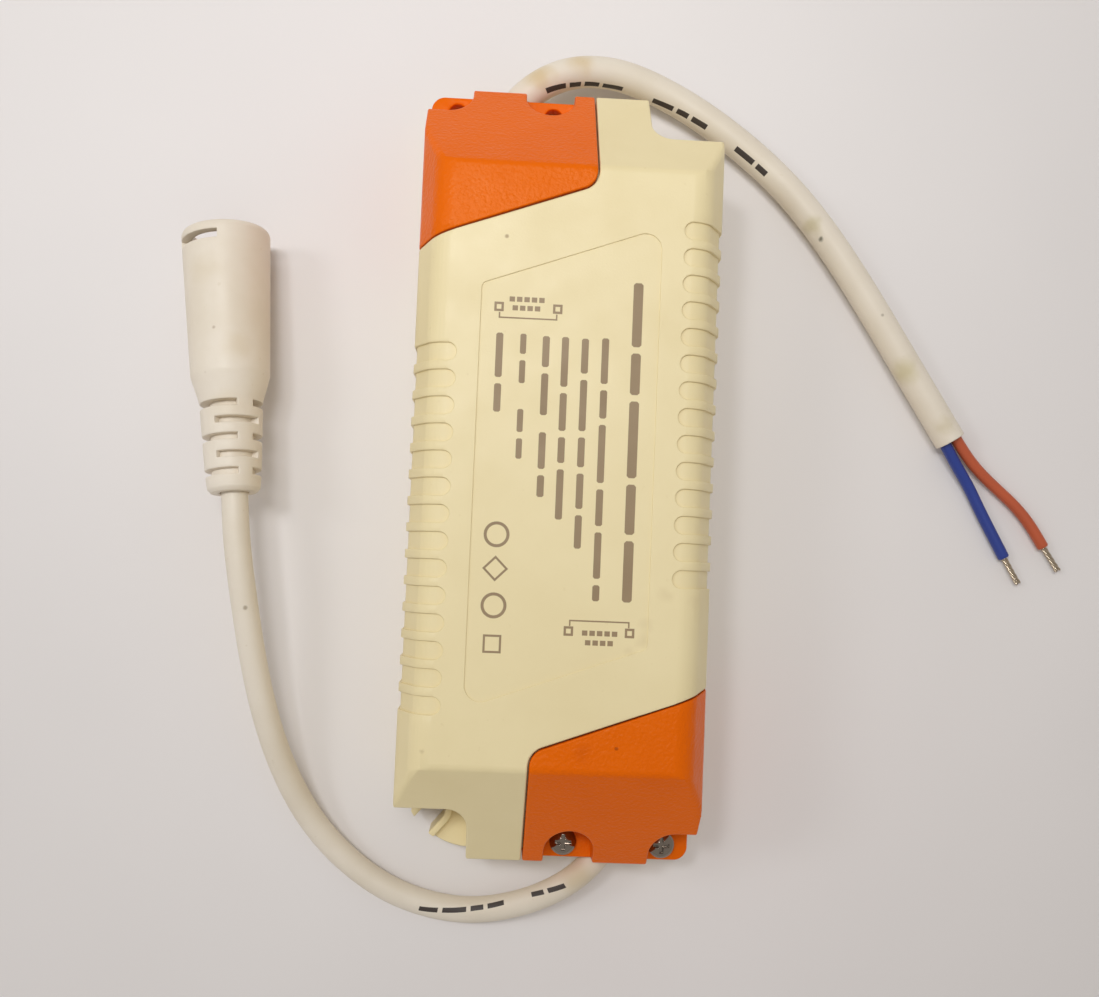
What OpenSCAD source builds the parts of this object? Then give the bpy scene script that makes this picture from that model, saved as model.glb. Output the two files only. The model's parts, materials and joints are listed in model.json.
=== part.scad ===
// LED driver: a cream two-part case with an orange cap over the wiring at each
// end, a short sheathed supply cable and an output cable with a round connector.
// Millimetres. X across the case, Y along it with the supply end at +Y, Z up,
// origin at the middle of the mounting face.

/* [Case] */
// Width over the side walls
case_w = 46.5; // [46:0.1:47.5]
// Length over the end walls
case_l = 122.8; // [122:0.2:124]
// Height of the flat top above the mounting face
case_h = 29; // [28.5:0.1:30.5]
// Height of the end walls, where the end slopes start
end_h = 13.1; // [12.8:0.1:13.8]
// Distance from the middle to the ridge where the flat top ends
ridge_y = 44.85; // [44.4:0.05:45.2]
// Height at which the side walls start to lean in
shoulder_z = 23; // [22.6:0.1:23.4]
// How far the side walls lean in by the top
shoulder_in = 3.1; // [2.8:0.1:3.4]
// Wall of the cream cover and tray
wall = 1.8; // [1.7:0.05:1.9]
// Height of the joint between tray and cover
rim_z = 7; // [6.8:0.1:7.1]

/* [Fixing ears] */
// Distance from the middle to the ear's wall along X
ear_x = 12.2; // [12:0.1:12.5]
// Distance from the middle to the ear's wall along Y
ear_y = 52.05; // [52:0.05:52.4]
// Corner radius of an ear seen from above
ear_r = 11.3; // [11:0.1:11.5]
// Width of the fixing slots
slot_w = 3.4; // [3.2:0.1:3.8]
// Width over the raised collar round the output end's slot
collar_w = 5.6; // [5.4:0.1:5.8]
// Thickness of the output end's ear beside the collar
ear_z = 5.4; // [5:0.1:6]
// Thickness of the supply end's ear
low_ear_z = 2.6; // [2.2:0.1:2.8]

/* [End caps] */
// Wall of the orange caps
cap_wall = 1.7; // [1.6:0.05:1.8]
// Gap between a cap and the cover
seam_gap = 0.25; // [0.15:0.05:0.3]
// Slant of the seam across the top, in degrees
seam_angle = 20.1; // [19.6:0.1:20.6]
// Radius of the screw pockets
pocket_r = 3.9; // [3.7:0.05:3.95]
// Height of the pocket floors
pocket_z = 9.5; // [9.4:0.1:9.8]
// Diameter of the cap screws' heads
head_d = 4.3; // [4:0.1:4.6]

/* [Side grooves] */
// Number of grooves on each side
groove_n = 14; // [10:1:14]
// Spacing of the grooves
groove_pitch = 4; // [3.8:0.05:4]
// Width of a groove
groove_w = 2.65; // [2.3:0.05:2.8]
// Depth of a groove
groove_deep = 0.4; // [0.3:0.05:0.7]

/* [Cables] */
// Diameter of the supply cable's sheath
mains_d = 5.2; // [5:0.05:5.25]
// Diameter of an insulated supply core
core_d = 1.95; // [1.8:0.05:1.98]
// Diameter of the output cable
out_d = 4.2; // [4:0.05:4.4]

/* [Connector] */
// Diameter of the connector's barrel at the mouth
conn_d = 14.2; // [13.8:0.1:14.2]
// Diameter of the connector's bore
conn_bore_d = 10.8; // [10.4:0.1:11]

/* [Hidden] */
$fn = 64;
big = 200;
end_y = case_l / 2;
slope = (case_h - end_h) / (end_y - ridge_y);
lean = atan(shoulder_in / (case_h - shoulder_z));
seam_x = 3.55;
seam_y = 40.8;
screw_in = [3.15, -58.8];
screw_out = [18.9, -58.8];
pocket_in = [3.8, -59.3];
pocket_out = [20.2, -59.2];
pocket_shift = 0.85;
outlet_x = 9.4;
outlet_z = 6.7;
slot_at = [-17.55, -55.1];
slot_dir = 49.5;
ridge_r = 1.3;
board_z = 5;
board_top = 6.6;
cream = [0.91, 0.86, 0.69];
orange = [0.89, 0.42, 0.1];
offwhite = [0.88, 0.86, 0.8];

// Supply cable: from the wiring space, out through the end wall, round to the
// right and down to the table, ending at the cut sheath.
mains_route = [[-12.6, 51.6, 6.7], [-12.2, 54.8, 6.7], [-11.2, 58.2, 6.7], [-9.4, 61.4, 6.7],
    [-7, 64.1, 6.6], [-3.9, 66.4, 6.3], [-0.3, 68, 5.8], [3.6, 68.8, 5], [8, 68.7, 4.2],
    [14, 67.1, 3.3], [20.8, 63.9, 2.8], [28.4, 59, 2.6], [37.8, 51, 2.6],
    [48.3, 38.1, 2.6], [58.4, 22.7, 2.6], [67.1, 9.1, 2.6]];
mains_end = [67.1, 9.1, 2.6];
mains_heading = atan2(9.1 - 22.7, 67.1 - 58.4);
neutral_route = [[61.1, 16.6, 2.6], [65.2, 10.2, 2.6], [66.6, 8, 2.4], [68.6, 5, 1.8],
    [70.8, 1.8, 1.2], [73, -2.2, 1], [74.9, -5.7, 1], [77.5, -10.4, 1]];
live_route = [[62.8, 17.7, 2.6], [66.9, 11.3, 2.6], [68.2, 9.4, 2.5], [70.2, 6.8, 2],
    [73, 3.9, 1.4], [75.9, 1.4, 1.1], [78.7, -1, 1], [81.2, -3.7, 1], [84.3, -8.3, 1]];

// Output cable: the same way out of the other end, round to the left along the
// table and up to the rear of the connector.
output_route = [[12.6, -51.6, 6.7], [12.2, -54.8, 6.7], [11.1, -58.2, 6.7], [9.3, -61.3, 6.6],
    [6.9, -64.2, 6.2], [3.9, -66.8, 5.4], [0.2, -69.1, 4.2], [-4.7, -71.1, 2.9],
    [-10.9, -72.2, 2.2], [-18.1, -71.5, 2.1], [-25.2, -69, 2.1], [-31.5, -64.9, 2.2],
    [-36.8, -59.6, 2.8], [-41, -53, 4.2], [-44, -45.8, 6.2], [-46.2, -38.2, 8.1],
    [-48, -29.6, 9.9], [-49.5, -20.8, 11.2], [-50.5, -14.6, 11.6], [-51.1, -10.1, 11.5],
    [-51.6, -5.5, 11.15], [-51.94, -2.98, 10.93]];

// Connector: middle of the mouth, heading and dip of its axis.
conn_at = [-56.2, 37.5, 6.96];
conn_yaw = 6;
conn_dip = 5.6;
conn_l = 43.4;

function unit(v) = v / norm(v);
function prev_of(p, i) = p[(i + len(p) - 1) % len(p)];
function next_of(p, i) = p[(i + 1) % len(p)];
function half_angle(p, i) = acos(unit(prev_of(p, i) - p[i]) * unit(next_of(p, i) - p[i])) / 2;

// Convex outline with a true arc at each corner whose radius is above zero.
module rounded(p, r) {
    polygon([for (i = [0:len(p) - 1]) each r[i] > 0
        ? [p[i] + unit(prev_of(p, i) - p[i]) * r[i] / tan(half_angle(p, i)),
           p[i] + unit(next_of(p, i) - p[i]) * r[i] / tan(half_angle(p, i))]
        : [p[i]]]);
    for (i = [0:len(p) - 1]) if (r[i] > 0)
        translate(p[i] + unit(unit(prev_of(p, i) - p[i]) + unit(next_of(p, i) - p[i]))
            * r[i] / sin(half_angle(p, i))) circle(r[i]);
}

function tangent(p, i) = i == 0 ? unit(p[1] - p[0])
    : i == len(p) - 1 ? unit(p[i] - p[i - 1])
    : unit(unit(p[i + 1] - p[i]) + unit(p[i] - p[i - 1]));
function sideways(p, i) = unit(cross(tangent(p, i), [0, 0, 1]));
function upward(p, i) = cross(sideways(p, i), tangent(p, i));

// Round tube swept along a route.
module tube(p, r, n) {
    last = len(p) - 1;
    polyhedron(
        [for (i = [0:last], k = [0:n - 1])
            p[i] + r * (cos(360 * k / n) * sideways(p, i) + sin(360 * k / n) * upward(p, i))],
        concat([[for (k = [0:n - 1]) n - 1 - k]],
            [for (i = [0:last - 1], k = [0:n - 1]) [i * n + k, i * n + (k + 1) % n, (i + 1) * n + k]],
            [for (i = [0:last - 1], k = [0:n - 1]) [i * n + (k + 1) % n, (i + 1) * n + (k + 1) % n, (i + 1) * n + k]],
            [[for (k = [0:n - 1]) last * n + k]]));
}

module block(x, y, z) translate([x[0], y[0], z[0]]) cube([x[1] - x[0], y[1] - y[0], z[1] - z[0]]);
module rod_y(x, z, r, y0, y1) translate([x, y0, z]) rotate([-90, 0, 0]) cylinder(r = r, h = y1 - y0);
module rod_x(y, z, r, x0, x1) translate([x0, y, z]) rotate([0, 90, 0]) cylinder(r = r, h = x1 - x0);
module post(x, y, r, z0, z1) translate([x, y, z0]) cylinder(r = r, h = z1 - z0);
module both_ends() { children(); rotate([0, 0, 180]) children(); }

// Cross-section and side outline of the case, set in by d.
module section_x(d) {
    hw = case_w / 2 - d;
    zs = shoulder_z - d * tan(lean / 2);
    xt = case_w / 2 - (case_h - d - shoulder_z) * tan(lean) - d / cos(lean);
    rt = max(4 - d, 0.4);
    rs = max(4 - d, 2);
    rounded([[-hw, -1], [hw, -1], [hw, zs], [xt, case_h - d], [-xt, case_h - d], [-hw, zs]],
        [0, 0, rs, rt, rt, rs]);
}
module section_y(d) {
    he = end_y - d;
    k = sqrt(1 + slope * slope);
    ze = end_h + d * slope - d * k;
    yr = end_y - (case_h - d - end_h + d * k) / slope;
    rr = max(1.7 - d, 0.4);
    re = max(0.8 - d, 0.3);
    rounded([[-he, -1], [he, -1], [he, ze], [yr, case_h - d], [-yr, case_h - d], [-he, ze]],
        [0, 0, re, rr, rr, re]);
}
module body(d) {
    intersection() {
        rotate([90, 0, 0]) linear_extrude(case_l + 10, center = true) section_x(d);
        rotate([90, 0, 90]) linear_extrude(case_w + 10, center = true) section_y(d);
    }
}

// Everything under one leaning side and one end slope, with a round ridge between them.
module under_ridge(sx, sy) {
    n1 = [sx * cos(lean), 0, sin(lean)];
    n2 = unit([0, sy * slope, 1]);
    e = unit(cross(n1, n2));
    v = cross(e, n1);
    a = acos(n1 * n2);
    translate([sx * (case_w / 2 - shoulder_in), sy * ridge_y, case_h])
        multmatrix([[n1[0], v[0], e[0], 0], [n1[1], v[1], e[1], 0], [n1[2], v[2], e[2], 0], [0, 0, 0, 1]])
            linear_extrude(2 * big, center = true) polygon(concat(
                [for (i = [0:6]) ridge_r * [cos(a * i / 6) - 1, sin(a * i / 6) - tan(a / 2)]],
                [[-big * sin(a), big * cos(a)], [-big, -big], [0, -big]]));
}
module outside() intersection() {
    body(0);
    under_ridge(1, 1);
    under_ridge(1, -1);
    under_ridge(-1, 1);
    under_ridge(-1, -1);
}

// Plan of the output cap, set in by g from the seam. The input cap is its half turn.
module cap_plan(g) {
    x0 = -seam_x + g;
    function seam(x) = -seam_y + x * tan(seam_angle) - g / cos(seam_angle);
    rounded([[x0, -big], [big, -big], [big, seam(big)], [x0, seam(x0)]], [0, 0, 0, 3 - g]);
}
// Plan of the open corner above the ear at the output end, let out by g.
module ear_plan(g) {
    rounded([[-big, -big], [-ear_x + g, -big], [-ear_x + g, -ear_y + g], [-big, -ear_y + g]],
        [0, 0, 3.2 + g, 0]);
}
module prism(z0, z1) translate([0, 0, z0]) linear_extrude(z1 - z0) children();

// Plan of the tray: large radii at the ears, small ones under the caps.
module tray_plan(d) {
    x = case_w / 2 - 0.35 - d;
    y = end_y - 0.1 - d;
    rounded([[-x, -y], [x, -y], [x, y], [-x, y]], [ear_r - d, max(2.2 - d, 0.4), ear_r - d, max(2.2 - d, 0.4)]);
}

// Oblong way out for a cable through the end wall at the output end.
module outlet(r) {
    rod_y(outlet_x - 0.5, outlet_z, r, -end_y - 5, -55);
    rod_y(outlet_x + 2.6, outlet_z, r, -end_y - 5, -53.5);
    block([outlet_x - 0.5, outlet_x + 2.6], [-end_y - 5, -55], [outlet_z - r, outlet_z + r]);
}

module fixing_slot(w, z0, z1) {
    translate([slot_at[0], slot_at[1], z0]) {
        cylinder(d = w, h = z1 - z0);
        rotate([0, 0, 180 + slot_dir]) translate([0, -w / 2, 0]) cube([30, w, z1 - z0]);
    }
}

module base_tray() color(cream) {
    difference() {
        prism(0, rim_z) tray_plan(0);
        difference() {
            prism(2, rim_z + 1) tray_plan(wall);
            both_ends() {
                prism(0, 20) ear_plan(wall);
                post(screw_in[0], screw_in[1], 2.7, 0, 20);
                post(screw_out[0], screw_out[1], 2.7, 0, 20);
                block([6.8, 16], [-59.8, -55.6], [0, 20]);
                post(16, -36.6, 2.2, 0, board_z);
                post(-16, -40, 2.2, 0, board_z);
                block([-21.3, -20.2], [-48, 28], [0, 20]);
            }
        }
        outlet(out_d / 2 + 0.25);
        rotate([0, 0, 180]) outlet(mains_d / 2 + 0.25);
        // The ear at the output end stands lower than the collar round its slot.
        difference() {
            prism(ear_z, 20) ear_plan(0);
            fixing_slot(collar_w, 0, 30);
        }
        // The ear at the supply end is a low plate that stops short of the end wall.
        rotate([0, 0, 180]) difference() {
            prism(-1, 20) ear_plan(0);
            block([-40, 0], [-58.7, 0], [-2, low_ear_z]);
        }
        both_ends() {
            fixing_slot(slot_w, -1, 20);
            post(screw_in[0], screw_in[1], 1.3, 1.2, 20);
            post(screw_out[0], screw_out[1], 1.3, 1.2, 20);
        }
    }
    both_ends() {
        post(16, -36.6, 1.2, board_z - 1, board_top + 1);
        post(-16, -40, 1.2, board_z - 1, board_top + 1);
        block([-21.3, -20.2], [-48, 28], [rim_z - 1, rim_z + 2]);
    }
}

// Cutter for one groove: over the shoulder and down the right-hand side.
module groove(y) {
    intersection() {
        union() {
            post(16.6 + groove_w / 2, y, groove_w / 2, 0, 40);
            block([16.6 + groove_w / 2, 40], [y - groove_w / 2, y + groove_w / 2], [0, 40]);
        }
        union() {
            rod_x(y, 12 + groove_w / 2, groove_w / 2, 10, 45);
            block([10, 45], [y - groove_w, y + groove_w], [12 + groove_w / 2, 45]);
        }
    }
}

module top_cover() color(cream) {
    difference() {
        union() {
            difference() {
                outside();
                difference() {
                    body(wall);
                    both_ends() {
                        prism(0, 40) ear_plan(wall);
                        prism(0, 40) cap_plan(-1.6);
                    }
                }
                both_ends() {
                    prism(-2, 40) ear_plan(0);
                    prism(-2, 40) cap_plan(0);
                }
                block([-big, big], [-big, big], [-5, rim_z]);
            }
            // Ledges under the edges of the caps.
            both_ends() intersection() {
                difference() { body(wall); body(3); }
                difference() { prism(rim_z, 40) cap_plan(-0.4); prism(0, 41) cap_plan(1.2); }
            }
        }
        difference() {
            both_ends() for (i = [0:groove_n - 1]) groove(-16.1 + groove_pitch * i);
            body(groove_deep);
        }
        // Shallow panel for the rating print.
        prism(case_h - 0.2, 40) rounded([[-13.25, -36.1], [13.25, -26.5], [13.25, 36.1], [-13.25, 26.5]],
            [2.4, 1, 2.4, 1]);
    }
}

// Cap over the wiring at the output end, its screw pockets moved out by o.
module end_cap(cable_r, o) {
    pockets = [pocket_in - [0, o], pocket_out - [0, o]];
    difference() {
        intersection() {
            outside();
            prism(rim_z, 40) cap_plan(seam_gap);
            prism(0, 40) rounded([[-30, -end_y], [case_w / 2, -end_y], [case_w / 2, 0], [-30, 0]], [0, 2.2, 0, 0]);
        }
        difference() {
            body(cap_wall);
            for (s = pockets) post(s[0], s[1], pocket_r + 1.5, 0, 40);
            block([17, 30], [-65, -54], [0, pocket_z]);
            block([6.8, 16], [-65, -56.8], [0, 12.4]);
        }
        for (s = pockets) {
            post(s[0], s[1], pocket_r, pocket_z, 40);
            block([s[0] - pocket_r, s[0] + pocket_r], [-70, s[1]], [pocket_z, 40]);
        }
        block([pocket_out[0], 40], [-70, pockets[1][1] + pocket_r], [pocket_z, 40]);
        post(screw_in[0], screw_in[1], 1.5, 0, 40);
        post(screw_out[0], screw_out[1], 1.5, 0, 40);
        outlet(cable_r + 0.25);
    }
}
module output_cap() color(orange) end_cap(out_d / 2, 0);
module input_cap() color(orange) rotate([0, 0, 180]) end_cap(mains_d / 2, pocket_shift);

module cap_screw(at) translate([at[0], at[1], pocket_z]) {
    difference() {
        intersection() {
            cylinder(d = head_d, h = 1.9);
            translate([0, 0, -0.85]) sphere(d = head_d * 1.28);
        }
        for (a = [0, 90]) rotate([0, 0, a]) translate([-1.25, -0.3, 0.8]) cube([2.5, 0.6, 3]);
    }
    translate([0, 0, -8]) cylinder(r = 1.25, h = 8.2);
}
module cap_screws() color([0.72, 0.72, 0.7]) { cap_screw(screw_in); cap_screw(screw_out); }

module circuit_board() color([0.78, 0.66, 0.4]) difference() {
    block([-19.8, 19.8], [-48, 48], [board_z, board_top]);
    both_ends() { post(16, -36.6, 1.35, 0, 20); post(-16, -40, 1.35, 0, 20); }
}

// Two-way terminal block at the output end, with wire holes facing the outlet.
module terminal_block() difference() {
    block([6.5, 17.5], [-47, -39.2], [board_top, 17]);
    for (x = [9.4, 14.6]) {
        rod_y(x, 10.2, 1.4, -48, -42);
        post(x, -43.2, 1.75, 14.2, 20);
    }
}
module output_terminal_block() color([0.2, 0.45, 0.3]) terminal_block();
module input_terminal_block() color([0.2, 0.45, 0.3]) rotate([0, 0, 180]) terminal_block();
module terminal_screws() color([0.75, 0.74, 0.7]) both_ends() for (x = [9.4, 14.6]) difference() {
    post(x, -43.2, 1.65, 14.2, 16.2);
    block([x - 3, x + 3], [-43.5, -42.9], [15.4, 18]);
}

module fuse_body() color([0.8, 0.8, 0.76]) rod_x(45.4, 9.6, 2.3, 8, 17);
module fuse_caps() color([0.78, 0.77, 0.73]) for (x = [6, 17]) rod_x(45.4, 9.6, 2.5, x, x + 2);
module varistor() color([0.25, 0.4, 0.6]) {
    rod_y(12, 13.4, 5, 37, 40.4);
    for (x = [9.5, 14.5]) post(x, 38.7, 0.4, board_top, 11);
}
module x_capacitor() color([0.85, 0.75, 0.2]) block([3.4, 18], [27.6, 34.4], [board_top, 18.6]);

module choke_core() color([0.25, 0.25, 0.26]) translate([-9.5, 25.4, 0]) difference() {
    post(0, 0, 7, 8.4, 13.4);
    post(0, 0, 3.8, 5, 20);
}
module choke_windings() color([0.72, 0.4, 0.2]) translate([-9.5, 25.4, 0])
    for (a = [30, 210]) rotate([0, 0, a]) rotate_extrude(angle = 120) difference() {
        translate([2.9, 7.5]) square([5, 6.8]);
        translate([3.75, 8.35]) square([3.3, 5.1]);
    }
module bridge_rectifier() color([0.15, 0.15, 0.16]) block([-19, -9.4], [10.6, 14], [board_top, 15]);
module bulk_capacitors() color([0.2, 0.2, 0.24]) for (x = [5.6, 15]) post(x, 19.8, 4.6, board_top, 23.6);

// Core: two side legs and a middle leg, the middle one through the bobbin.
module transformer_core() color([0.22, 0.22, 0.24]) difference() {
    block([-13, 9], [-4, 6], [7.4, 24.4]);
    for (z = [9.4, 18.4]) block([-10, 6], [-5, 7], [z, z + 4]);
}
module transformer_bobbin() color([0.12, 0.12, 0.13]) difference() {
    union() {
        block([-9.9, 5.9], [-4.8, 6.8], [12.6, 19.2]);
        for (x = [-9.9, 4.9]) block([x, x + 1], [-7, 9], [9.6, 22.2]);
    }
    block([-20, 20], [-4.05, 6.05], [13.35, 18.45]);
}
module transformer_winding() color([0.85, 0.72, 0.2]) difference() {
    block([-8.85, 4.85], [-6.6, 8.6], [9.9, 21.9]);
    block([-20, 20], [-4.85, 6.85], [12.55, 19.25]);
}
module switching_transistor() color([0.14, 0.14, 0.15]) {
    block([12.6, 17], [-3, 7], [10.4, 19.4]);
    for (y = [-0.5, 2, 4.5]) block([14.4, 15], [y - 0.4, y + 0.4], [board_top, 11]);
}
module heatsink() color([0.75, 0.75, 0.76]) {
    block([17, 18.5], [-12, 10], [board_top, 23.4]);
    block([16, 18.5], [-12, -9], [board_top, 8]);
}
module control_chip() color([0.13, 0.13, 0.14]) block([10.4, 15.4], [-12, -8], [board_top, 8.2]);
module optocoupler() color([0.16, 0.16, 0.17]) block([-18, -11.6], [-13.4, -8.8], [board_top, 10.2]);
module y_capacitor() color([0.2, 0.42, 0.7]) {
    rod_x(-1.6, 11.2, 3.6, -17.6, -14.6);
    for (y = [-4, 0.8]) post(-16.1, y, 0.35, board_top, 9.5);
}
module output_diode() color([0.16, 0.16, 0.17]) rod_x(-12.8, 9.3, 2.6, -6, 4);
module output_capacitors() color([0.15, 0.22, 0.2]) for (x = [-12, -0.6]) post(x, -22.4, 5, board_top, 24.4);
module output_choke_core() color([0.25, 0.25, 0.26]) {
    post(12, -22, 2.6, board_top, 17);
    post(12, -22, 5, board_top, 8.2);
    post(12, -22, 5, 15.4, 17);
}
module output_choke_winding() color([0.75, 0.42, 0.2]) difference() {
    post(12, -22, 4.7, 8.25, 15.35);
    post(12, -22, 2.65, 0, 30);
}

// Cores inside the case, from the end of each sheath to its terminal.
module inside_lead(s) tube([[12.55 + s * 1.02, -50.9, 6.7], [12.5 + s * 1.1, -50.3, 6.85],
    [12.3 + s * 1.7, -49.2, 8.6], [12 + s * 2.5, -47.8, 9.9], [12 + s * 2.6, -46.9, 10.2],
    [12 + s * 2.6, -43.4, 10.2]], 0.9, 8);
module output_lead_positive() color([0.75, 0.12, 0.1]) inside_lead(1);
module output_lead_negative() color([0.12, 0.12, 0.13]) inside_lead(-1);
module input_lead_live() color([0.6, 0.28, 0.18]) rotate([0, 0, 180]) inside_lead(1);
module input_lead_neutral() color([0.2, 0.32, 0.65]) rotate([0, 0, 180]) inside_lead(-1);

module mains_cable() color(offwhite) difference() {
    tube(mains_route, mains_d / 2, 12);
    translate(mains_end) rotate([0, 0, mains_heading]) rotate([0, 90, 0])
        translate([0, 0, -10]) cylinder(r = 2.1, h = 12);
}
module live_core() color([0.76, 0.36, 0.22]) tube(live_route, core_d / 2, 8);
module neutral_core() color([0.16, 0.28, 0.6]) tube(neutral_route, core_d / 2, 8);
module tip(from, to) translate(from) rotate([0, 0, atan2(to[1] - from[1], to[0] - from[0])])
    rotate([0, 90, 0]) cylinder(r = 0.5, h = norm(to - from));
module bare_tips() color([0.75, 0.72, 0.66]) {
    tip([77.55, -10.49, 1], [80.1, -14.8, 1]);
    tip([84.36, -8.38, 1], [87, -12.3, 1]);
}
module output_cable() color(offwhite) tube(output_route, out_d / 2, 12);

// Everything on the connector is set out behind its mouth, +Z forward.
module on_connector() translate(conn_at) rotate([-conn_dip, 0, conn_yaw]) rotate([-90, 0, 0]) children();
module ring_cut(r0, r1, z, h, a0, a1) translate([0, 0, z]) rotate([0, 0, a0])
    rotate_extrude(angle = a1 - a0) translate([r0, 0]) square([r1 - r0, h]);

module connector_body() color(offwhite) on_connector() {
    rm = conn_d / 2;
    difference() {
        rotate_extrude() polygon(concat([[0, 0]],
            [for (a = [0:15:90]) [rm - 0.9 + 0.9 * sin(a), -1.1 * (1 - cos(a))]],
            [[rm - 0.83, -24.4], [rm - 1.05, -25.2], [5.2, -28], [5, -28.8],
                [4.4, -40.6], [4.15, -42.8], [3.6, -conn_l], [0, -conn_l]]));
        translate([0, 0, -17]) cylinder(d = conn_bore_d, h = 20);
        translate([0, 0, -conn_l - 1]) cylinder(d = out_d + 0.4, h = 4);
        // Latch windows near the mouth.
        for (a = [0, 180]) ring_cut(4, 9, -3.1, 1.4, a + 190, a + 270);
        // Alternate slots of the flexible tail.
        for (z = [-30, -35.4, -40.9], a = [0, 180]) ring_cut(3.4, 9, z, 1.05, a - 180 - 35, a - 180 + 113);
        for (z = [-32.7, -38.2], a = [0, 180]) ring_cut(3.4, 9, z, 1.05, a + 248, a + 342);
    }
}
module connector_insert() color([0.2, 0.2, 0.21]) on_connector() difference() {
    translate([0, 0, -17]) cylinder(d = conn_bore_d, h = 4);
    for (x = [-2.2, 2.2]) translate([x, 0, -18]) cylinder(r = 0.8, h = 8);
}
module contact_pins() color([0.8, 0.68, 0.35]) on_connector() for (x = [-2.2, 2.2])
    translate([x, 0, -17]) cylinder(r = 0.8, h = 10.5);

base_tray();
top_cover();
input_cap();
output_cap();
cap_screws();
circuit_board();
input_terminal_block();
output_terminal_block();
terminal_screws();
fuse_body();
fuse_caps();
varistor();
x_capacitor();
choke_core();
choke_windings();
bridge_rectifier();
bulk_capacitors();
transformer_core();
transformer_bobbin();
transformer_winding();
switching_transistor();
heatsink();
control_chip();
optocoupler();
y_capacitor();
output_diode();
output_capacitors();
output_choke_core();
output_choke_winding();
input_lead_live();
input_lead_neutral();
output_lead_positive();
output_lead_negative();
mains_cable();
live_core();
neutral_core();
bare_tips();
output_cable();
connector_body();
connector_insert();
contact_pins();
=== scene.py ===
import json
import math
import random

import bmesh
import bpy
import numpy as np
from mathutils import Matrix, Vector


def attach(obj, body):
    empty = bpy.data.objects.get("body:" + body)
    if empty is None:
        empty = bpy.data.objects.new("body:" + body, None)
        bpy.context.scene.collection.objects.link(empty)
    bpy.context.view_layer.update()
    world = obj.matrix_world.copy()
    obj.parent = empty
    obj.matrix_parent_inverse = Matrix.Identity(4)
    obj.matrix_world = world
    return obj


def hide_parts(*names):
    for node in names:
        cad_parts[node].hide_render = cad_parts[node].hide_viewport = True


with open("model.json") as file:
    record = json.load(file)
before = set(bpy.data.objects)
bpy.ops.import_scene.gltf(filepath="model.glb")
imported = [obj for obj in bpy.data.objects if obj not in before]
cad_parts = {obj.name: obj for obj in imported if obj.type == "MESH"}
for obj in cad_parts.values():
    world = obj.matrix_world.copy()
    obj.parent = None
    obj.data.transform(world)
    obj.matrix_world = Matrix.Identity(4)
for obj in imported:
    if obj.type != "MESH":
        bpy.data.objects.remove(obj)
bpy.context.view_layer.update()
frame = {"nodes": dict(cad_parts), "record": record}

scene = bpy.context.scene
coll = scene.collection
MM = 0.001
nodes = frame["nodes"]

# ------------------------------------------------------------------ camera
cam_data = bpy.data.cameras.new("camera")
cam_data.sensor_fit = "HORIZONTAL"
cam_data.sensor_width = 36.0
cam_data.lens = 40.62
cam_data.clip_start = 0.01
cam_data.clip_end = 20.0
cam = bpy.data.objects.new("camera", cam_data)
cam.location = (-0.00894871, -0.01434299, 0.21078251)
cam.rotation_euler = (0.04956, -0.04046, 0.04153)
coll.objects.link(cam)
scene.camera = cam


# ------------------------------------------------------------------ helpers
def new_object(name, verts, faces, smooth=True):
    me = bpy.data.meshes.new(name)
    me.from_pydata([tuple(v) for v in verts], [], faces)
    me.validate()
    for p in me.polygons:
        p.use_smooth = smooth
    ob = bpy.data.objects.new(name, me)
    coll.objects.link(ob)
    return ob


def spline(points, step):
    """Natural cubic through the points, sampled evenly, in the points' unit."""
    p = np.array(points, float)
    s = np.r_[0, np.cumsum(np.linalg.norm(np.diff(p, axis=0), axis=1))]
    n = len(p)
    h = np.diff(s)
    a = np.zeros((n, n))
    b = np.zeros((n, 3))
    a[0, 0] = a[-1, -1] = 1
    for i in range(1, n - 1):
        a[i, i - 1], a[i, i], a[i, i + 1] = h[i - 1], 2 * (h[i - 1] + h[i]), h[i]
        b[i] = 6 * ((p[i + 1] - p[i]) / h[i] - (p[i] - p[i - 1]) / h[i - 1])
    m = np.linalg.solve(a, b)

    def at(t):
        i = int(min(max(np.searchsorted(s, t) - 1, 0), n - 2))
        u, w = s[i + 1] - t, t - s[i]
        return (m[i] * u ** 3 + m[i + 1] * w ** 3) / (6 * h[i]) + (p[i] / h[i] - m[i] * h[i] / 6) * u + (p[i + 1] / h[i] - m[i + 1] * h[i] / 6) * w

    fine = np.array([at(t) for t in np.linspace(0, s[-1], 2000)])
    fs = np.r_[0, np.cumsum(np.linalg.norm(np.diff(fine, axis=0), axis=1))]
    k = max(int(round(fs[-1] / step)), 2)
    out = np.array([[np.interp(x, fs, fine[:, c]) for c in range(3)] for x in np.linspace(0, fs[-1], k + 1)])
    return out, fs[-1]


def frames(path):
    """Tangent, sideways and upward directions along a path that stays near level."""
    t = np.gradient(path, axis=0)
    t /= np.linalg.norm(t, axis=1)[:, None]
    side = np.cross(t, np.array([0, 0, 1.0]))
    side /= np.linalg.norm(side, axis=1)[:, None]
    up = np.cross(side, t)
    return t, side, up


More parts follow.
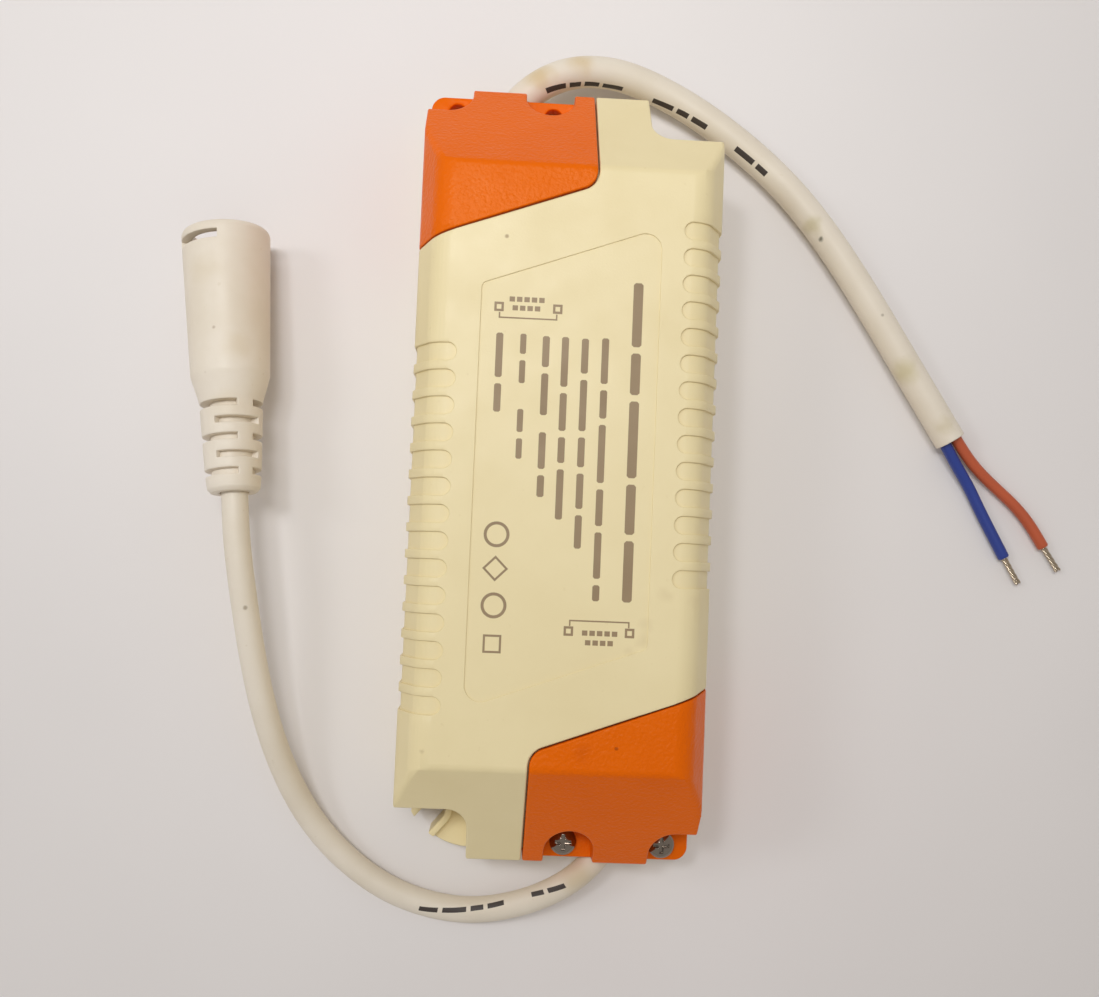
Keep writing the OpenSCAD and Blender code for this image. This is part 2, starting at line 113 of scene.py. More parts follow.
def sweep(name, path, rings, sides=32, twist=None):
    """Closed skin of (index along the path, offset along the tangent, radius) rings. Lengths in mm."""
    t, side, up = frames(path)
    turn = np.zeros(len(path)) if twist is None else twist
    verts, faces = [], []
    for i, off, r in rings:
        c = path[i] + t[i] * off
        for k in range(sides):
            a = 2 * math.pi * k / sides + turn[i]
            verts.append((c + r * (math.cos(a) * side[i] + math.sin(a) * up[i])) * MM)
    n = len(rings)
    for j in range(n - 1):
        for k in range(sides):
            k2 = (k + 1) % sides
            faces.append((j * sides + k, j * sides + k2, (j + 1) * sides + k2, (j + 1) * sides + k))
    faces.append(tuple(range(sides))[::-1])
    faces.append(tuple((n - 1) * sides + k for k in range(sides)))
    return new_object(name, verts, faces)


def recalc(ob):
    bm = bmesh.new()
    bm.from_mesh(ob.data)
    bmesh.ops.recalc_face_normals(bm, faces=bm.faces)
    bm.to_mesh(ob.data)
    bm.free()


# ------------------------------------------------------------------ materials
def shader(name):
    mat = bpy.data.materials.new(name)
    mat.use_nodes = True
    nt = mat.node_tree
    return mat, nt, nt.nodes["Principled BSDF"]


def rgb(r, g, b):
    """Picture values 0 to 255 as linear light."""
    def f(v):
        v /= 255.0
        return v / 12.92 if v <= 0.04045 else ((v + 0.055) / 1.055) ** 2.4
    return (f(r), f(g), f(b), 1.0)


def coords(nt):
    return nt.nodes.new("ShaderNodeTexCoord").outputs["Object"]


def noise(nt, vec, scale, detail=4.0, rough=0.55):
    n = nt.nodes.new("ShaderNodeTexNoise")
    n.inputs["Scale"].default_value = scale
    n.inputs["Detail"].default_value = detail
    n.inputs["Roughness"].default_value = rough
    nt.links.new(vec, n.inputs["Vector"])
    return n.outputs["Fac"]


def ramp(nt, fac, stops):
    r = nt.nodes.new("ShaderNodeValToRGB")
    while len(r.color_ramp.elements) < len(stops):
        r.color_ramp.elements.new(0.5)
    for e, (pos, col) in zip(r.color_ramp.elements, stops):
        e.position = pos
        e.color = col if len(col) == 4 else (*col, 1.0)
    nt.links.new(fac, r.inputs["Fac"])
    return r.outputs["Color"]


def grey(v):
    return (v, v, v, 1.0)


def mix(nt, fac, a, b, mode="MIX"):
    m = nt.nodes.new("ShaderNodeMix")
    m.data_type = "RGBA"
    m.blend_type = mode
    for sock, val in ((m.inputs["Factor"], fac), (m.inputs[6], a), (m.inputs[7], b)):
        if isinstance(val, (int, float)):
            sock.default_value = val
        elif isinstance(val, tuple):
            sock.default_value = val
        else:
            nt.links.new(val, sock)
    return m.outputs[2]


def bump(nt, bsdf, height, strength, distance):
    b = nt.nodes.new("ShaderNodeBump")
    b.inputs["Strength"].default_value = strength
    b.inputs["Distance"].default_value = distance
    nt.links.new(height, b.inputs["Height"])
    nt.links.new(b.outputs["Normal"], bsdf.inputs["Normal"])


def spot(nt, vec, centre, radius, soft=0.5, warp=0.0):
    """1 inside a ball about a point (mm), fading to 0 at its radius."""
    sub = nt.nodes.new("ShaderNodeVectorMath")
    sub.operation = "SUBTRACT"
    nt.links.new(vec, sub.inputs[0])
    sub.inputs[1].default_value = [c * MM for c in centre]
    src = sub.outputs["Vector"]
    if warp:
        n = nt.nodes.new("ShaderNodeTexNoise")
        n.inputs["Scale"].default_value = 0.8 / (radius * MM)
        n.inputs["Detail"].default_value = 3.0
        nt.links.new(vec, n.inputs["Vector"])
        w = nt.nodes.new("ShaderNodeVectorMath")
        w.operation = "MULTIPLY_ADD"
        nt.links.new(n.outputs["Color"], w.inputs[0])
        w.inputs[1].default_value = [warp * radius * MM] * 3
        nt.links.new(src, w.inputs[2])
        s2 = nt.nodes.new("ShaderNodeVectorMath")
        s2.operation = "SUBTRACT"
        nt.links.new(w.outputs["Vector"], s2.inputs[0])
        s2.inputs[1].default_value = [warp * radius * MM * 0.5] * 3
        src = s2.outputs["Vector"]
    ln = nt.nodes.new("ShaderNodeVectorMath")
    ln.operation = "LENGTH"
    nt.links.new(src, ln.inputs[0])
    mp = nt.nodes.new("ShaderNodeMapRange")
    mp.interpolation_type = "SMOOTHSTEP"
    mp.inputs["From Min"].default_value = radius * MM * (1 - soft)
    mp.inputs["From Max"].default_value = radius * MM
    mp.inputs["To Min"].default_value = 1.0
    mp.inputs["To Max"].default_value = 0.0
    nt.links.new(ln.outputs["Value"], mp.inputs["Value"])
    return mp.outputs["Result"]


def scaled(nt, value, factor):
    m = nt.nodes.new("ShaderNodeMath")
    m.operation = "MULTIPLY"
    nt.links.new(value, m.inputs[0])
    m.inputs[1].default_value = factor
    return m.outputs["Value"]


def moulded(name, base, dark, rough, grain, grain_strength, marks=(), mottling=0.10, gloss=0.4, tint=(1.0, 1.0, 1.0, 1.0), depth=0.00006, ior=1.46):
    """Moulded plastic: faint mottling, fine texture, and at given places soiling and painted shade."""
    mat, nt, b = shader(name)
    v = coords(nt)
    col = mix(nt, ramp(nt, noise(nt, v, 60.0, 5.0), [(0.35, grey(0)), (0.75, grey(mottling * 4))]), base, dark)
    speck = ramp(nt, noise(nt, v, 900.0, 2.0), [(0.70, grey(0)), (0.78, grey(0.35))])
    col = mix(nt, speck, col, dark)
    for centre, radius, colour, strength, soft, warp in marks:
        col = mix(nt, scaled(nt, spot(nt, v, centre, radius, soft, warp), strength), col, colour)
    nt.links.new(col, b.inputs["Base Color"])
    rr = ramp(nt, noise(nt, v, 180.0, 3.0), [(0.3, grey(rough - 0.06)), (0.7, grey(rough + 0.06))])
    nt.links.new(rr, b.inputs["Roughness"])
    b.inputs["IOR"].default_value = ior
    b.inputs["Specular IOR Level"].default_value = gloss
    b.inputs["Specular Tint"].default_value = tint
    bump(nt, b, noise(nt, v, grain, 2.0), grain_strength, depth)
    return mat


def plain(name, base, rough, metallic=0.0, grain=0.0):
    mat, nt, b = shader(name)
    v = coords(nt)
    n = noise(nt, v, 140.0, 4.0)
    dark = tuple(c * 0.82 for c in base[:3]) + (1.0,)
    nt.links.new(mix(nt, ramp(nt, n, [(0.35, grey(0)), (0.75, grey(0.6))]), base, dark), b.inputs["Base Color"])
    nt.links.new(ramp(nt, n, [(0.3, grey(max(rough - 0.05, 0.02))), (0.7, grey(rough + 0.05))]), b.inputs["Roughness"])
    b.inputs["Metallic"].default_value = metallic
    if grain:
        bump(nt, b, noise(nt, v, grain, 2.0), 0.2, 0.00004)
    return mat


CREAM = rgb(236, 221, 176)
CREAM_DARK = rgb(222, 204, 154)
ORANGE = rgb(232, 104, 0)
ORANGE_DARK = rgb(221, 94, 0)
SHEATH = rgb(229, 220, 205)
SHEATH_DARK = rgb(207, 194, 170)

cream_soiling_and_shade = [
    ((-9.9, 33.6, 29), 0.42, rgb(140, 110, 70), 0.65, 0.7, 0.4),
    ((12.9, -23.0, 28.9), 1.7, rgb(176, 150, 106), 0.15, 1.0, 1.0),
    ((12.7, -25.4, 28.9), 1.6, rgb(176, 150, 106), 0.15, 1.0, 1.0),
    ((10.6, -26.9, 28.9), 1.3, rgb(176, 150, 106), 0.12, 1.0, 1.0),
    ((15.6, -18.4, 29), 1.9, rgb(196, 172, 126), 0.2, 0.95, 1.2),
    ((19.6, -19.0, 27.4), 2.0, rgb(196, 172, 126), 0.2, 0.95, 1.2),
    ((-18.9, -42.5, 28.6), 0.6, rgb(180, 156, 112), 0.4, 0.9, 1.2),
    # Painted shade: the two screw ears under the cover's notches are darkened brown over a 7 mm ball.
    ((-18.0, -53.0, 3), 7.0, rgb(150, 125, 80), 0.45, 0.8, 0.8),
    ((18.0, 53.0, 3), 7.0, rgb(150, 125, 80), 0.35, 0.8, 0.8),
]
mat_cream = moulded("cream_plastic", CREAM, CREAM_DARK, 0.42, 2600.0, 0.25, cream_soiling_and_shade)
orange_marks = [
    ((9.3, -41.1, 29), 0.42, rgb(120, 44, 6), 0.6, 0.7, 0.4),
    ((4.2, -42.0, 29), 2.2, rgb(196, 80, 4), 0.3, 0.95, 1.2),
    ((12.0, -59.0, 11), 3.5, rgb(150, 52, 10), 0.35, 0.9, 0.6),
]
mat_orange = moulded("orange_plastic", ORANGE, ORANGE_DARK, 0.36, 1700.0, 1.0, orange_marks, gloss=0.5,
    tint=(1.0, 0.8, 0.45, 1.0), depth=0.00013, ior=1.29)
mains_marks = [
    ((-6.0, 66.2, 8.9), 3.6, rgb(200, 168, 100), 0.55, 0.9, 0.9),
    ((1.0, 69.2, 8.0), 3.2, rgb(200, 168, 100), 0.45, 0.9, 0.9),
    ((43.1, 42.2, 4.9), 0.75, rgb(70, 70, 45), 0.85, 0.7, 0.8),
    ((41.4, 44.4, 4.9), 2.6, rgb(176, 164, 104), 0.5, 0.95, 1.2),
    ((58.0, 20.3, 4.9), 3.4, rgb(188, 176, 118), 0.5, 0.95, 1.2),
    ((54.0, 29.7, 5.1), 0.4, rgb(120, 105, 80), 0.5, 0.7, 0.4),
    ((65.4, 11.4, 4.4), 2.4, rgb(190, 175, 130), 0.4, 0.9, 0.9),
]
mat_mains = moulded("sheath_supply", SHEATH, SHEATH_DARK, 0.45, 700.0, 0.10, mains_marks, 0.12)
out_marks = [
    ((-48.6, -23.5, 12.9), 0.5, rgb(130, 110, 80), 0.6, 0.7, 0.4),
    ((6.0, -65.0, 8.0), 4.0, rgb(190, 165, 110), 0.4, 0.9, 0.8),
]
mat_out = moulded("sheath_output", SHEATH, SHEATH_DARK, 0.45, 700.0, 0.10, out_marks, 0.12)
conn_marks = [
    ((-55.4, 20.4, 14.9), 0.42, rgb(150, 120, 88), 0.55, 0.7, 0.4),
    ((-56.3, 13.3, 14.6), 0.4, rgb(150, 120, 88), 0.4, 0.7, 0.4),
    ((-52.0, 17.7, 14.6), 3.4, rgb(206, 188, 152), 0.35, 0.9, 0.9),
    ((-57.4, 30.0, 13.4), 3.8, rgb(206, 188, 152), 0.30, 0.9, 0.9),
    ((-53.0, 8.0, 14.8), 4.0, rgb(206, 188, 152), 0.28, 0.9, 0.9),
]
mat_conn = moulded("connector_plastic", rgb(233, 224, 210), rgb(213, 199, 174), 0.42, 900.0, 0.10, conn_marks, 0.14)
mat_blue = plain("insulation_blue", rgb(40, 62, 144), 0.34)
mat_brown = plain("insulation_brown", rgb(189, 88, 52), 0.36)
mat_tin = plain("tinned_strands", rgb(190, 176, 156), 0.22, 1.0)
mat_screw = plain("nickel_steel", rgb(146, 136, 126), 0.14, 1.0)
mat_print = plain("print_ink", rgb(150, 127, 94), 0.5)
mat_cable_print = plain("cable_ink", rgb(62, 54, 50), 0.55)

slot_looks = {
    "board": plain("laminate", rgb(196, 160, 92), 0.5),
    "terminal_green": plain("terminal_plastic", rgb(52, 120, 78), 0.45),
    "ceramic_white": plain("ceramic_tube", rgb(214, 212, 202), 0.3),
    "varistor_blue": plain("dipped_blue", rgb(66, 106, 160), 0.3),
    "film_yellow": plain("film_box", rgb(220, 190, 56), 0.35),
    "ferrite": plain("ferrite", rgb(58, 58, 62), 0.7),
    "copper_wire": plain("enamelled_copper", rgb(186, 102, 50), 0.3, 0.6),
    "black_epoxy": plain("epoxy", rgb(38, 38, 40), 0.5),
    "can_sleeve": plain("shrink_sleeve", rgb(44, 46, 56), 0.3),
    "winding_tape": plain("polyester_tape", rgb(222, 184, 52), 0.25),
    "aluminium": plain("aluminium_plate", rgb(190, 190, 194), 0.35, 1.0),
    "red_insulation": plain("insulation_red", rgb(186, 34, 28), 0.35),
    "black_insulation": plain("insulation_black", rgb(32, 32, 34), 0.35),
    "brown_insulation": mat_brown,
    "blue_insulation": mat_blue,
    "insert_black": plain("insert_plastic", rgb(46, 46, 48), 0.5),
    "contact_brass": plain("contact_brass", rgb(214, 178, 96), 0.25, 1.0),
    "screw_steel": mat_screw,
    "cream_case": mat_cream,
    "orange_cap": mat_orange,
}


def paint(ob, mat):
    ob.data.materials.clear()
    ob.data.materials.append(mat)
    for p in getattr(ob.data, "polygons", []):
        p.material_index = 0


# ------------------------------------------------------------------ cords
MAINS_R, OUT_R, CORE_R = 2.6, 2.1, 0.975
mains_route = [(-12.6, 51.6, 6.7), (-12.2, 54.8, 6.7), (-11.2, 58.2, 6.7), (-9.4, 61.4, 6.7),
    (-7, 64.1, 6.6), (-3.9, 66.4, 6.3), (-0.3, 68, 5.8), (3.6, 68.8, 5), (8, 68.7, 4.2),
    (14, 67.1, 3.3), (20.8, 63.9, 2.8), (28.4, 59, 2.6), (37.8, 51, 2.6),
    (48.3, 38.1, 2.6), (58.4, 22.7, 2.6), (67.1, 9.1, 2.6)]
neutral_route = [(61.1, 16.6, 2.6), (65.2, 10.2, 2.6), (66.6, 8, 2.4), (68.6, 5, 1.8),
    (70.8, 1.8, 1.2), (73, -2.2, 1), (74.9, -5.7, 1), (77.5, -10.4, 1)]
live_route = [(62.8, 17.7, 2.6), (66.9, 11.3, 2.6), (68.2, 9.4, 2.5), (70.2, 6.8, 2),
    (73, 3.9, 1.4), (75.9, 1.4, 1.1), (78.7, -1, 1), (81.2, -3.7, 1), (84.3, -8.3, 1)]
output_route = [(12.6, -51.6, 6.7), (12.2, -54.8, 6.7), (11.1, -58.2, 6.7), (9.3, -61.3, 6.6),
    (6.9, -64.2, 6.2), (3.9, -66.8, 5.4), (0.2, -69.1, 4.2), (-4.7, -71.1, 2.9),
    (-10.9, -72.2, 2.2), (-18.1, -71.5, 2.1), (-25.2, -69, 2.1), (-31.5, -64.9, 2.2),
    (-36.8, -59.6, 2.8), (-41, -53, 4.2), (-44, -45.8, 6.2), (-46.2, -38.2, 8.1),
    (-48, -29.6, 9.9), (-49.5, -20.8, 11.2), (-50.5, -14.6, 11.6), (-51.1, -10.1, 11.5),
    (-51.6, -5.5, 11.15), (-51.94, -2.98, 10.93)]


def tube(name, route, r, mat, step=1.0, sides=36, end="round", turns=None, dashes=()):
    """A cable along its route. Dashes of ink lie along the line that turns gives, as (mm along, degrees)."""
    path, length = spline(route, step)
    last = len(path) - 1
    e = 0.12 * r
    along = np.linspace(0, length, len(path))
    twist = np.radians(np.interp(along, *zip(*turns))) if turns else None
    rings = [(0, 0.0, r * 0.9), (0, e, r)] + [(i, 0.0, r) for i in range(1, last)]
    if end == "cut":
        # Sheath cut back from its cores: a thin wall round a short recess.
        rings += [(last, -0.15, r), (last, -0.02, r - 0.08), (last, 0.0, r - 0.2), (last, 0.0, r - 0.42),
            (last, -0.2, r - 0.5), (last, -2.6, r - 0.52)]
    else:
        rings += [(last, -e, r), (last, 0.0, r * 0.9)]
    ob = sweep(name, path, rings, sides, twist)
    paint(ob, mat)
    if dashes:
        ob.data.materials.append(mat_cable_print)
        for j in range(len(rings) - 1):
            at = along[min(rings[j][0], last)]
            if any(a <= at < b for a, b in dashes):
                for k in (-1, 0, 1):
                    ob.data.polygons[j * sides + k % sides].material_index = 1
    recalc(ob)
    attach(ob, "root")
    return ob, path, length


def dash_rows(groups, marks, gap):
    """Spans of ink that fill each group in turn with the given mark lengths."""
    out = []
    for start, stop in groups:
        at, i = start, 0
        while at + marks[i % len(marks)] <= stop:
            out.append((at, at + marks[i % len(marks)]))
            at += marks[i % len(marks)] + gap
            i += 1
    return out


mains, mains_path, mains_len = tube("supply_cable", mains_route, MAINS_R, mat_mains, step=0.25, sides=48,
    end="cut", turns=[(0, 60), (14.7, 45), (21.5, 20), (28, 12), (37, 22), (43, 36), (50, 45), (64, 50), (117, 50)],
    dashes=dash_rows([(15.5, 31.5), (37.2, 48.2), (54.2, 64.2)], (4.0, 2.25, 3.0), 0.75))
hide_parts("mains_cable")
neutral, neutral_path, neutral_len = tube("supply_core_blue", neutral_route, CORE_R, mat_blue, step=0.5, sides=24)
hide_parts("neutral_core")
live, live_path, live_len = tube("supply_core_brown", live_route, CORE_R, mat_brown, step=0.5, sides=24)
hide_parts("live_core")
output, output_path, output_len = tube("lamp_cable", output_route, OUT_R, mat_out, step=0.25, sides=48,
    turns=[(0, 90), (17.3, 80), (20.8, 62), (24, 50), (28.8, 54), (34, 65), (39, 84), (43, 103), (60, 110), (123, 110)],
    dashes=dash_rows([(17.4, 24.2), (28.6, 43.2)], (3.0, 2.25, 4.0), 0.75))
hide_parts("output_cable")


def strands(name, start, stop):
    """Tinned strands twisted together, slightly opened at the cut."""
    start, stop = np.array(start, float), np.array(stop, float)
    axis = stop - start
    length = np.linalg.norm(axis)
    axis /= length
    side = np.cross(axis, [0, 0, 1.0])
    side /= np.linalg.norm(side)
    up = np.cross(side, axis)
    verts, faces = [], []
    rnd = random.Random(7)
    lays = [(0.0, 0.0)] + [(0.3, k * math.pi * 0.4) for k in range(5)]
    for radius, phase in lays:
        cut = length - rnd.uniform(0.0, 0.35)
        base = len(verts)
        n, sides = 32, 12
        pts = []
        for i in range(n + 1):
            s = cut * i / n
            flare = 1.0 + 0.25 * max(0.0, (s - length + 1.2) / 1.2) if radius else 1.0
            a = phase + s * 1.25
            pts.append(start + axis * s + radius * flare * (math.cos(a) * side + math.sin(a) * up))
        pts = np.array(pts)
        t, sd, u = frames(pts)
        for i in range(n + 1):
            r = 0.2 if 0 < i < n else 0.15
            for k in range(sides):
                a = 2 * math.pi * k / sides
                verts.append((pts[i] + r * (math.cos(a) * sd[i] + math.sin(a) * u[i])) * MM)
        for i in range(n):
            for k in range(sides):
                k2 = (k + 1) % sides
                faces.append((base + i * sides + k, base + i * sides + k2, base + (i + 1) * sides + k2, base + (i + 1) * sides + k))
        faces.append(tuple(base + k for k in range(sides))[::-1])
        faces.append(tuple(base + n * sides + k for k in range(sides)))
    ob = new_object(name, verts, faces)
    recalc(ob)
    paint(ob, mat_tin)
    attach(ob, "root")
    return ob


tip_blue = strands("bare_tip_blue", (77.2, -9.9, 1), (80.1, -14.8, 1))
tip_brown = strands("bare_tip_brown", (84.0, -7.85, 1), (87, -12.3, 1))
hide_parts("bare_tips")


# ------------------------------------------------------------------ moulded shells
def in_panel(c):
    return c.z > 28.75 * MM and abs(c.x) < 13.6 * MM and abs(c.y) < 36.5 * MM


def in_groove(c):
    return abs(c.x) > 16.3 * MM and c.z > 11.8 * MM and abs(c.y) < 38.2 * MM


def corner_normals(bm, flat, limit=50.0):
    """A normal for each face corner: wide flat faces rule at their edges, facets of a curve share theirs evenly."""
    bm.normal_update()
    bm.faces.index_update()
    bm.verts.index_update()
    least = math.cos(math.radians(limit))
    found = {}
    for v in bm.verts:
        loops = [l for l in v.link_loops if l.face.calc_area() > 1e-14]
        place = {l.face.index: i for i, l in enumerate(loops)}
        group = list(range(len(loops)))

        def root(i):
            while group[i] != i:
                i = group[i]
            return i

        for e in v.link_edges:
            if len(e.link_faces) == 2:
                f, g = e.link_faces
                if f.index in place and g.index in place and f.normal.dot(g.normal) > least:
                    group[root(place[f.index])] = root(place[g.index])
        total = {}
        for i, l in enumerate(loops):
            r = root(i)
            total[r] = total.get(r, Vector()) + l.face.normal * (l.calc_angle() * (25.0 if l.face[flat] else 1.0))
        for i, l in enumerate(loops):
            n = total[root(i)]
            found[l.face.index, v.index] = n.normalized() if n.length > 1e-9 else l.face.normal
    return [found.get((f.index, l.vert.index), f.normal).copy() for f in bm.faces for l in f.loops]


def shell(node, name, mat, rounds, angle=28.0, cuts=()):
    """A moulded piece in the place of its node, with its outer edges rounded: (which edges, radius in mm).
    Cuts across it, as (axis, first, last, spacing) in mm, keep the facets short so that curves shade evenly."""
    me = nodes[node].data.copy()
    me.name = name
    ob = bpy.data.objects.new(name, me)
    coll.objects.link(ob)
    bm = bmesh.new()
    bm.from_mesh(me)
    bmesh.ops.remove_doubles(bm, verts=bm.verts, dist=3e-6)
    bmesh.ops.dissolve_degenerate(bm, edges=bm.edges, dist=2e-6)
    bmesh.ops.dissolve_limit(bm, angle_limit=math.radians(0.25), use_dissolve_boundaries=False,
        verts=bm.verts, edges=bm.edges, delimit=set())
    bmesh.ops.recalc_face_normals(bm, faces=bm.faces)
    for pick, width in rounds:
        edges = [e for e in bm.edges if len(e.link_faces) == 2 and e.calc_face_angle_signed(0) > math.radians(angle)
            and e.calc_length() > 0.03 * MM and pick((e.verts[0].co + e.verts[1].co) / 2)]
        bmesh.ops.bevel(bm, geom=edges, offset=width * MM, offset_type="OFFSET", segments=2, profile=0.5,
            affect="EDGES", clamp_overlap=False, miter_outer="ARC")
        bmesh.ops.dissolve_degenerate(bm, edges=bm.edges, dist=1e-6)
    flat = bm.faces.layers.int.new("flat")
    for f in bm.faces:
        f[flat] = int(2.0 * f.calc_area() > 1.2 * MM * f.calc_perimeter())
    for axis, first, last, spacing in cuts:
        for at in np.arange(first, last + 0.001, spacing):
            bmesh.ops.bisect_plane(bm, geom=bm.verts[:] + bm.edges[:] + bm.faces[:], dist=1e-7,
                plane_co=[at * MM if i == axis else 0.0 for i in range(3)], plane_no=[float(i == axis) for i in range(3)])
    normals = corner_normals(bm, flat)
    bm.faces.layers.int.remove(flat)
    bm.to_mesh(me)
    bm.free()
    for p in me.polygons:
        p.use_smooth = True
    me.normals_split_custom_set(normals)
    paint(ob, mat)
    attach(ob, "root")
    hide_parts(node)
    return ob


def at_mitre(c):
    """Where an end ridge runs into the shoulder: both are rounded already."""
    return 44 * MM < abs(c.y) < 47.5 * MM and abs(c.x) > 17.5 * MM and c.z > 26 * MM


def case_edge(c):
    return not in_panel(c) and not in_groove(c) and not at_mitre(c)


def cap_edge(c):
    return not at_mitre(c)


def anywhere(c):
    return True


case_cuts = [(0, -22.13, 22.2, 1.51), (1, -60.07, 60.2, 3.01)]
cover = shell("top_cover", "case_cover", mat_cream, [(case_edge, 0.28), (in_groove, 0.14), (in_panel, 0.11)],
    cuts=case_cuts)
tray = shell("base_tray", "case_tray", mat_cream, [(anywhere, 0.22)])
cap_in = shell("input_cap", "cap_supply_end", mat_orange, [(cap_edge, 0.24)], cuts=case_cuts)
cap_out = shell("output_cap", "cap_lamp_end", mat_orange, [(cap_edge, 0.24)], cuts=case_cuts)
conn = shell("connector_body", "connector_shell", mat_conn, [(anywhere, 0.13)],
    cuts=[(1, -5.03, 37.4, 1.01)])
screws = shell("cap_screws", "cap_screw_set", mat_screw, [(anywhere, 0.05)])

# ------------------------------------------------------------------ print on the rating panel
def printed(name, shapes, z0, z1, mat):
    """Flat shapes of ink in the panel, each a closed slab from its outline in mm."""
    verts, faces = [], []
    for outer, inner in shapes:
        base, n = len(verts), len(outer)
        loops = [outer] + ([inner] if inner else [])
        for z in (z0, z1):
            for loop in loops:
                verts += [(x * MM, y * MM, z * MM) for x, y in loop]
        m = n * len(loops)
        for i in range(n):
            j = (i + 1) % n
            faces.append((base + i, base + j, base + m + j, base + m + i))
            if inner:
                faces.append((base + n + j, base + n + i, base + m + n + i, base + m + n + j))
                faces.append((base + m + i, base + m + j, base + m + n + j, base + m + n + i))
                faces.append((base + j, base + i, base + n + i, base + n + j))
        if not inner:
            faces.append(tuple(base + m + i for i in range(n)))
            faces.append(tuple(base + i for i in range(n))[::-1])
    ob = new_object(name, verts, faces, False)
    recalc(ob)
    paint(ob, mat)
    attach(ob, "root")
    return ob


def box(x, y, w, h):
    return [(x - w / 2, y - h / 2), (x + w / 2, y - h / 2), (x + w / 2, y + h / 2), (x - w / 2, y + h / 2)]


def ring(x, y, r, n, turn=0.0):
    return [(x + r * math.cos(2 * math.pi * k / n + turn), y + r * math.sin(2 * math.pi * k / n + turn)) for k in range(n)]


ink = []
# Rows of plain bars: (x, first y, last y, height, lengths in turn)
rows = [(10.0, 27.6, -19.8, 1.45, (9.6, 6.2, 11.4, 7.4)), (5.4, 19.1, -19.8, 1.05, (6.8, 4.2, 8.6, 5.4)),
    (2.4, 18.9, -12.2, 1.05, (5.2, 7.6, 4.4)), (-0.55, 19.0, -9.2, 1.05, (7.4, 5.6, 3.8)),
    (-3.4, 19.0, 6.9, 1.05, (4.6, 6.2)), (-3.4, 4.7, -5.1, 1.05, (5.4, 3.2)),
    (-6.8, 19.2, 11.6, 0.9, (3.0, 3.4)), (-6.8, 8.0, 0.3, 0.9, (3.4, 3.0)), (-10.3, 19.2, 7.0, 1.05, (6.6, 4.2))]
for x, y0, y1, high, lengths in rows:
    y, k = y0, 0
    while y - 1.2 >= y1:
        long = min(lengths[k % len(lengths)], y - y1)
        c = 0.22 * high
        bar = [(x + sx * high / 2 - sx * dx, y - long / 2 + sy * long / 2 - sy * dy)
            for sx, sy, turns in ((-1, -1, ((0, c), (c, 0))), (1, -1, ((c, 0), (0, c))), (1, 1, ((0, c), (c, 0))), (-1, 1, ((c, 0), (0, c))))
            for dx, dy in turns]
        ink.append((bar, None))
        y -= long + 0.95
        k += 1
# Plain outlines in the corner and a small terminal sketch at each end of the panel.
for y, n, turn in ((-10.6, 32, 0.0), (-15.6, 4, 0.0), (-21.0, 32, 0.0), (-26.6, 4, math.pi / 4)):
    ink.append((ring(-9.5, y, 1.9, n, turn), ring(-9.5, y, 1.45, n, turn)))
for x, y in ((-10.6, 23.1), (-1.9, 23.1), (1.6, -24.3), (10.6, -24.3)):
    ink.append((box(x, y, 1.4, 1.4), box(x, y, 0.7, 0.7)))
for x, y, w, h in ((-6.25, 21.5, 8.7, 0.22), (-10.49, 21.95, 0.22, 0.7), (-2.01, 21.95, 0.22, 0.7),
        (6.1, -22.75, 8.9, 0.22), (1.76, -23.2, 0.22, 0.7), (10.44, -23.2, 0.22, 0.7)):
    ink.append((box(x, y, w, h), None))
for y, xs in ((24.3, (-8.7, -7.6, -6.5, -5.4, -4.3)), (23.0, (-8.2, -7.1, -6.0, -4.9)), (-24.5, (4.0, 5.1, 6.2, 7.3, 8.4)), (-25.9, (4.5, 5.6, 6.7, 7.8))):
    ink += [(box(x, y, 0.8, 0.75), None) for x in xs]
ink_ob = printed("panel_print", ink, 28.795, 28.812, mat_print)

# ------------------------------------------------------------------ other nodes keep their shape
record = frame["record"]
slot_of = {s["node"]: s["material_slot"] for s in record.get("subparts", [])}
replaced = {"mains_cable", "live_core", "neutral_core", "bare_tips", "output_cable", "top_cover", "base_tray",
    "input_cap", "output_cap", "connector_body", "cap_screws"}
for n, ob in nodes.items():
    if n not in replaced:
        paint(ob, slot_looks.get(slot_of.get(n), mat_cream))

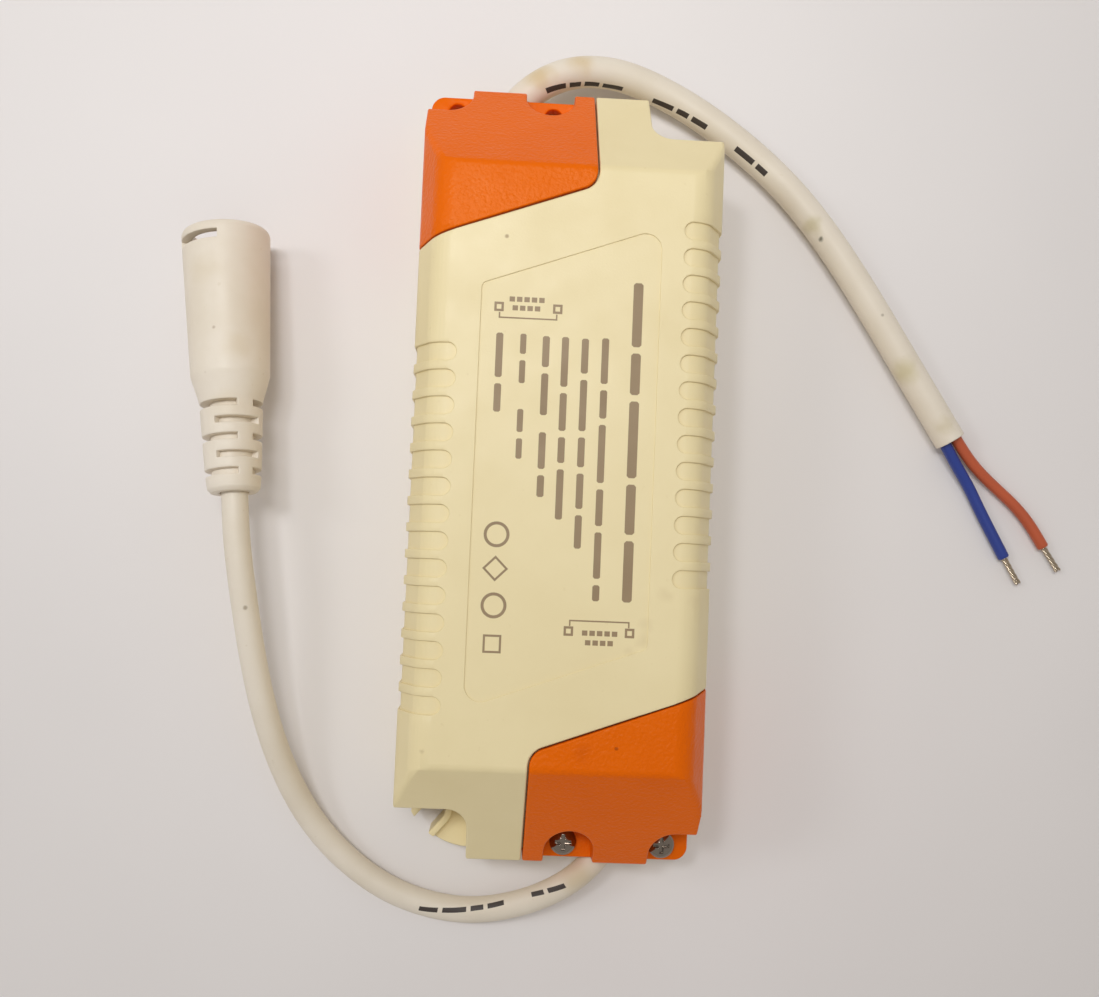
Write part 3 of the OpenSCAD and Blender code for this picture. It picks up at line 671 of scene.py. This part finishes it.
# ------------------------------------------------------------------ floor and light
floor = new_object("floor", [(-3, -3, -0.0001), (3, -3, -0.0001), (3, 3, -0.0001), (-3, 3, -0.0001)], [(0, 1, 2, 3)], False)
mat_floor, nt, b = shader("pale_floor")
v = coords(nt)
nt.links.new(mix(nt, ramp(nt, noise(nt, v, 8.0, 3.0), [(0.3, grey(0)), (0.7, grey(1))]), rgb(226, 222, 221), rgb(232, 228, 227)), b.inputs["Base Color"])
b.inputs["Roughness"].default_value = 0.75
floor.data.materials.append(mat_floor)

world = bpy.data.worlds.new("studio")
scene.world = world
world.use_nodes = True
nt = world.node_tree
sep = nt.nodes.new("ShaderNodeSeparateXYZ")
nt.links.new(nt.nodes.new("ShaderNodeTexCoord").outputs["Generated"], sep.inputs["Vector"])
sky = ramp(nt, sep.outputs["Z"], [(0.0, (0.46, 0.433, 0.404)), (0.5, (0.45, 0.424, 0.396)), (1.0, (0.43, 0.406, 0.380))])
nt.links.new(sky, nt.nodes["Background"].inputs["Color"])
nt.nodes["Background"].inputs["Strength"].default_value = 1.0
scene.view_settings.view_transform = "Standard"


def aim(ob, loc, target):
    ob.location = loc
    ob.visible_camera = False
    ob.rotation_euler = (Vector(target) - Vector(loc)).to_track_quat("-Z", "Y").to_euler()
    coll.objects.link(ob)


# Two soft disks from the far left, and a wide soft spot over the far end that fades towards the near one.
key = bpy.data.lights.new("key", "AREA")
key.shape = "DISK"
key.size = 0.11
key.energy = 0.95
key.color = (0.95, 0.975, 1.0)
aim(bpy.data.objects.new("key", key), (-0.22, 0.175, 0.70), (0, 0, 0))
window = bpy.data.lights.new("window", "AREA")
window.shape = "DISK"
window.size = 0.16
window.energy = 0.45
window.color = (0.95, 0.975, 1.0)
aim(bpy.data.objects.new("window", window), (-0.46, 0.11, 0.47), (0, 0, 0))
over = bpy.data.lights.new("over", "SPOT")
over.shadow_soft_size = 0.14
over.energy = 16.6
over.color = (0.985, 0.985, 0.985)
over.spot_size = math.radians(24.0)
over.spot_blend = 1.0
aim(bpy.data.objects.new("over", over), (-0.05, 0.25, 0.90), (-0.018, 0.085, 0.0))
